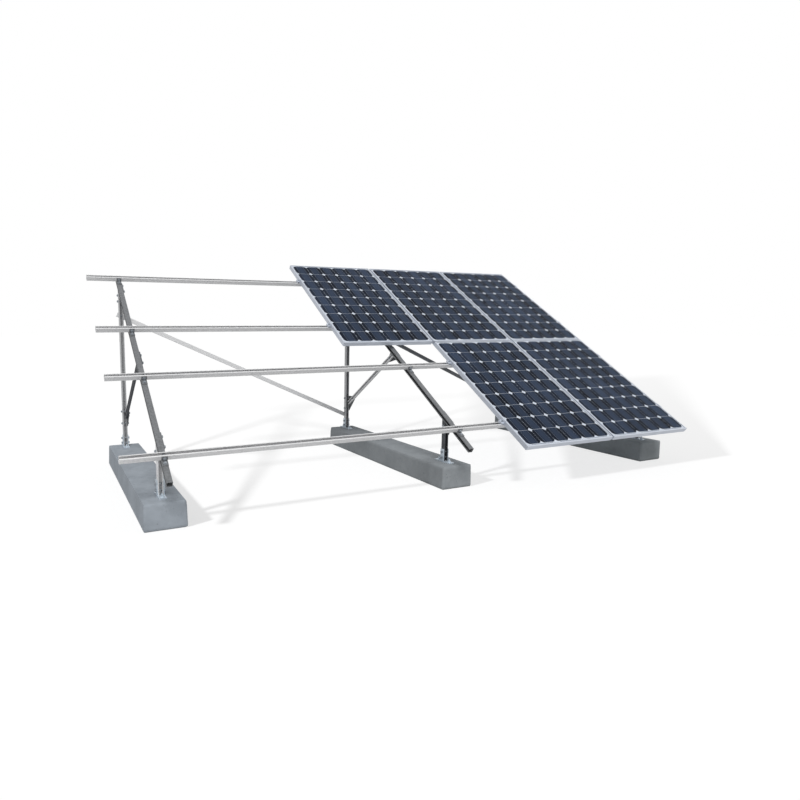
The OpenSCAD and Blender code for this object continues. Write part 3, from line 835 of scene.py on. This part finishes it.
class FitJunctionBoxes(bpy.types.Operator):
    """Model the junction box under each module, with its lid, screws and glands"""

    bl_idname = "solar_mount.fit_junction_boxes"
    bl_label = "Fit Junction Boxes"

    def execute(self, context):
        width, length = module_size()
        across, along, thick = JBOX_SIZE
        top = LAMINATE_TOP - LAMINATE_THICK - JBOX_PLAY
        middle = Vector((width / 2, length - JBOX_EDGE - along / 2, top))
        half = Vector((across / 2, along / 2, 0))
        low = middle - half - Vector((0, 0, thick - LID_THICK))
        body = add_slab("box_pattern", low, middle + half)
        self.round_corners(body, 0.008)
        lid_low = middle - half - Vector((-LID_INSET, -LID_INSET, thick))
        lid_high = middle + half - Vector((LID_INSET, LID_INSET, thick - LID_THICK))
        lid = add_slab("lid", lid_low, lid_high)
        self.round_corners(lid, 0.007)
        edit(lid)
        pick(lid, "FACE", lambda face: face.normal.z < -0.9)
        bpy.ops.mesh.inset(thickness=0.008, depth=0)
        bpy.ops.mesh.inset(thickness=0.0015, depth=-0.0012)
        leave_edit()
        parts = [body, lid]
        for x in (-1, 1):
            for y in (-1, 1):
                spot = middle + Vector(
                    (x * (across / 2 - SCREW_INSET), y * (along / 2 - SCREW_INSET), 0)
                )
                parts.append(self.screw(spot - Vector((0, 0, thick + 0.0008))))
        for x in (-1, 1):
            mouth = middle + Vector((x * across / 4, -along / 2, GLAND_HEIGHT - thick))
            parts.append(self.gland(mouth))
        box = join(parts, "box_pattern")
        smooth(box, 40)
        boxes = spread_over_modules(box, "junction_box_shell", moulded_plastic())
        for number, piece in zip(MODULES, boxes):
            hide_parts(f"junction_box_{number}")
        return {"FINISHED"}

    def round_corners(self, block, width):
        """Round the upright edges of a block."""
        edit(block)
        pick(block, "EDGE", lambda edge: abs(edge.verts[0].co.z - edge.verts[1].co.z) > 0.001)
        bpy.ops.mesh.bevel(offset=width, segments=5, affect="EDGES")
        leave_edit()

    def gland(self, mouth):
        """A cable gland: a collar, a chamfered hexagon, and a domed cap with a bore."""
        collar = add_round("collar", (0, 0, -0.001), GLAND_RADIUS, GLAND_LENGTH / 3 + 0.001, 48)
        hexagon = add_round(
            "hexagon",
            (0, 0, GLAND_LENGTH / 3),
            GLAND_ACROSS_FLATS / 2 / math.cos(math.pi / 6),
            GLAND_LENGTH / 3,
            6,
        )
        bevel_edges(hexagon, 0.0005, 2)
        cap = add_round("cap", (0, 0, GLAND_LENGTH * 2 / 3), GLAND_RADIUS, GLAND_LENGTH / 3, 48)
        edit(cap)
        pick(cap, "FACE", lambda face: face.normal.z > 0.9)
        bpy.ops.mesh.bevel(offset=0.0016, segments=4, affect="EDGES")
        pick(cap, "FACE", lambda face: face.normal.z > 0.9)
        bpy.ops.mesh.inset(thickness=GLAND_RADIUS / 2 - 0.0016, depth=0)
        bpy.ops.mesh.extrude_region_move(
            TRANSFORM_OT_translate={"value": (0, 0, -GLAND_LENGTH / 2)}
        )
        leave_edit()
        gland = join([collar, hexagon, cap], "gland")
        gland.matrix_world = Matrix.Translation(mouth) @ Matrix.Rotation(math.pi / 2, 4, "X")
        settle(gland)
        return gland

    def screw(self, foot):
        """A lid screw with a rounded edge and a sunk middle."""
        screw = add_round("screw", foot, 0.0032, 0.0012, 16)
        edit(screw)
        pick(screw, "FACE", lambda face: face.normal.z < -0.9)
        bpy.ops.mesh.inset(thickness=0.0008, depth=0)
        bpy.ops.mesh.inset(thickness=0.0006, depth=-0.0006)
        leave_edit()
        return screw


class FinishSteelAndAluminium(bpy.types.Operator):
    """Give the steel, the bolts, the clamps and the module frames their finishes"""

    bl_idname = "solar_mount.finish_steel_and_aluminium"
    bl_label = "Finish Steel and Aluminium"

    def execute(self, context):
        colour = colours()
        rails = galvanised_steel(
            "bright_galvanised_rail", colour.rail_zinc, colour.rail_dull, 0.52, 0.66
        )
        posts = galvanised_steel(
            "galvanised_post", colour.post_zinc, colour.post_dull, 0.45, 0.6
        )
        # The frames get a darker zinc than the rails
        frames = galvanised_steel(
            "darker_galvanised_frame", colour.frame_zinc, colour.frame_dull, 0.48, 0.65
        )
        # A darker copy of the zinc, which paints shade on single parts
        shaded_zinc = galvanised_steel(
            "shade_painted_galvanised_steel", colour.shade_zinc, colour.shade_dull, 0.5, 0.65
        )
        plated = plated_steel("bright_zinc_plate", colour.bright_zinc, linear(PLATE_SHADE), 0.35)
        bolts = plated_steel("dull_zinc_bolts", colour.bolt_zinc, linear(BOLT_SHADE), 0.5)
        aluminium = anodised_aluminium()
        for name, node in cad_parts.items():
            if node.hide_render:
                continue
            if name.startswith(("module_frame_", "mid_clamps", "end_clamps")):
                finish = aluminium
            # The pale rail zinc also paints light on a few single frame parts
            elif name in (*RAILS, *LIGHT_PAINTED_PARTS):
                finish = rails
            elif name.startswith(("front_foot_", "rear_foot_", "anchor_bolts")):
                finish = plated
            elif name.startswith("rear_post_"):
                finish = posts
            elif name in SHADE_PAINTED_PARTS:
                finish = shaded_zinc
            elif name in ("frame_bolts", "clamp_bolts"):
                finish = bolts
            else:
                finish = frames
            node.data.materials.clear()
            node.data.materials.append(finish)
        return {"FINISHED"}


# Stage


class SetStage(bpy.types.Operator):
    """Lay the floor and set the camera, the lamps and the world"""

    bl_idname = "solar_mount.set_stage"
    bl_label = "Set Stage"

    def execute(self, context):
        self.lamps(self.floor())
        self.world(context.scene)
        self.camera(context.scene)
        context.scene.view_settings.view_transform = "Standard"
        return {"FINISHED"}

    def seen_directly(self, tree):
        """One for what the camera, a mirror or glass sees, and nought for bounced light."""
        path = add_node(tree, "ShaderNodeLightPath").outputs
        first = calculate(tree, "MAXIMUM", path["Is Camera Ray"], path["Is Glossy Ray"])
        return calculate(tree, "MAXIMUM", first, path["Is Transmission Ray"])

    def floor(self):
        """A pale floor that looks white and keeps the object's shadow."""
        clear_selection()
        bpy.ops.mesh.primitive_plane_add(size=FLOOR_WIDTH, location=(0, 0, 0))
        floor = bpy.context.object
        floor.name = "studio_floor"
        material, tree, output = start_material("pale_studio_floor")
        pale = add_node(tree, "ShaderNodeBsdfDiffuse", {"Color": linear(FLOOR_BOUNCE)})
        shadow = add_node(tree, "ShaderNodeBsdfDiffuse", {"Color": [FLOOR_ALBEDO] * 3 + [1]})
        # The glow tops up the slanting lamp's light, so that the lit floor is an even white
        where = object_place(tree)
        away = add_node(
            tree, "ShaderNodeVectorMath", {0: where, 1: SHADOW_LAMP_PLACE}, operation="DISTANCE"
        ).outputs["Value"]
        lamp_level = FLOOR_ALBEDO * SHADOW_LAMP_POWER / (4 * math.pi**2)
        slant = calculate(tree, "DIVIDE", SHADOW_LAMP_PLACE.z * lamp_level, away)
        missing = calculate(tree, "SUBTRACT", FLOOR_WHITE - FLOOR_ALBEDO * WORLD_LEVEL, slant)
        glow = add_node(tree, "ShaderNodeEmission", {"Color": (1, 1, 1, 1), "Strength": missing})
        seen = add_node(tree, "ShaderNodeAddShader", {0: shadow.outputs[0], 1: glow.outputs[0]})
        mixed = add_node(
            tree,
            "ShaderNodeMixShader",
            {0: self.seen_directly(tree), 1: pale.outputs[0], 2: seen.outputs[0]},
        )
        tree.links.new(mixed.outputs[0], output.inputs["Surface"])
        floor.data.materials.append(material)
        return floor

    def lamps(self, floor):
        """A wide soft key light for the object, and a side lamp that draws its shadow."""
        key = self.lamp("soft_key", "SUN", KEY_LAMP_POWER)
        key.data.angle = KEY_LAMP_SPREAD
        key.rotation_euler = KEY_LAMP_AIM.to_track_quat("-Z", "Y").to_euler()
        side = self.lamp("shadow_lamp", "POINT", SHADOW_LAMP_POWER)
        side.data.shadow_soft_size = SHADOW_LAMP_RADIUS
        side.location = SHADOW_LAMP_PLACE
        side.data.use_nodes = True
        tree = side.data.node_tree
        even = add_node(tree, "ShaderNodeLightFalloff", {"Strength": 1.0})
        tree.links.new(even.outputs["Constant"], tree.nodes["Emission"].inputs["Strength"])
        for lamp, state in ((key, "EXCLUDE"), (side, "INCLUDE")):
            lit = bpy.data.collections.new(f"{lamp.name}_floor")
            lit.objects.link(floor)
            lamp.light_linking.receiver_collection = lit
            lit.collection_objects[0].light_linking.link_state = state

    def lamp(self, name, kind, energy):
        """A lamp of one kind and power."""
        light = bpy.data.lights.new(name, kind)
        light.energy = energy
        lamp = bpy.data.objects.new(name, light)
        bpy.context.scene.collection.objects.link(lamp)
        return lamp

    def world(self, scene):
        """A plain white surround that lights the object softly."""
        world = bpy.data.worlds.new("plain_surround")
        world.use_nodes = True
        tree = world.node_tree
        tree.nodes.clear()
        output = add_node(tree, "ShaderNodeOutputWorld")
        strength = add_node(
            tree,
            "ShaderNodeMapRange",
            {"Value": self.seen_directly(tree), 3: WORLD_LEVEL, 4: 1.0},
        ).outputs[0]
        light = add_node(
            tree, "ShaderNodeBackground", {"Color": (1, 1, 1, 1), "Strength": strength}
        )
        tree.links.new(light.outputs[0], output.inputs["Surface"])
        scene.world = world

    def camera(self, scene):
        """The camera, below the top of the array, looking at it from the front left."""
        lens = bpy.data.cameras.new("photo_camera")
        lens.sensor_width = SENSOR_WIDTH
        lens.lens = FOCAL_PIXELS / PICTURE_PIXELS * SENSOR_WIDTH
        lens.shift_x = 0.5 - AXIS_PIXELS[0] / PICTURE_PIXELS
        lens.shift_y = AXIS_PIXELS[1] / PICTURE_PIXELS - 0.5
        lens.clip_end = 200
        eye = bpy.data.objects.new("photo_camera", lens)
        scene.collection.objects.link(eye)
        level = math.cos(CAMERA_PITCH)
        aim = Vector(
            (math.sin(CAMERA_YAW) * level, math.cos(CAMERA_YAW) * level, math.sin(CAMERA_PITCH))
        )
        eye.location = CAMERA_PLACE
        eye.rotation_euler = aim.to_track_quat("-Z", "Y").to_euler()
        scene.camera = eye


class SolarMountPanel(bpy.types.Panel):
    """Sizes, colours and pieces of the mounting structure"""

    bl_idname = "VIEW3D_PT_solar_mount"
    bl_label = "Solar Mount"
    bl_space_type = "VIEW_3D"
    bl_region_type = "UI"
    bl_category = "Solar Mount"

    def draw(self, context):
        column = self.layout.column()
        for group in (context.scene.solar_mount_sizes, context.scene.solar_mount_colours):
            for name in group.__annotations__:
                column.prop(group, name)
        for step in STEPS:
            column.operator(step.bl_idname)


STEPS = (
    CastConcreteBeams,
    LayUpLaminates,
    RunGlassSeals,
    FitJunctionBoxes,
    FinishSteelAndAluminium,
    SetStage,
)
CLASSES = (SolarMountSizes, SolarMountColours) + STEPS + (SolarMountPanel,)


def register():
    """Register the classes and hang the settings on the scene."""
    for item in CLASSES:
        bpy.utils.register_class(item)
    bpy.types.Scene.solar_mount_sizes = bpy.props.PointerProperty(type=SolarMountSizes)
    bpy.types.Scene.solar_mount_colours = bpy.props.PointerProperty(type=SolarMountColours)


def unregister():
    """Take the settings and the classes away again."""
    del bpy.types.Scene.solar_mount_colours
    del bpy.types.Scene.solar_mount_sizes
    for item in reversed(CLASSES):
        bpy.utils.unregister_class(item)


def main():
    """Build every piece in order."""
    register()
    for step in STEPS:
        family, name = step.bl_idname.split(".")
        getattr(getattr(bpy.ops, family), name)()


if __name__ == "__main__":
    main()
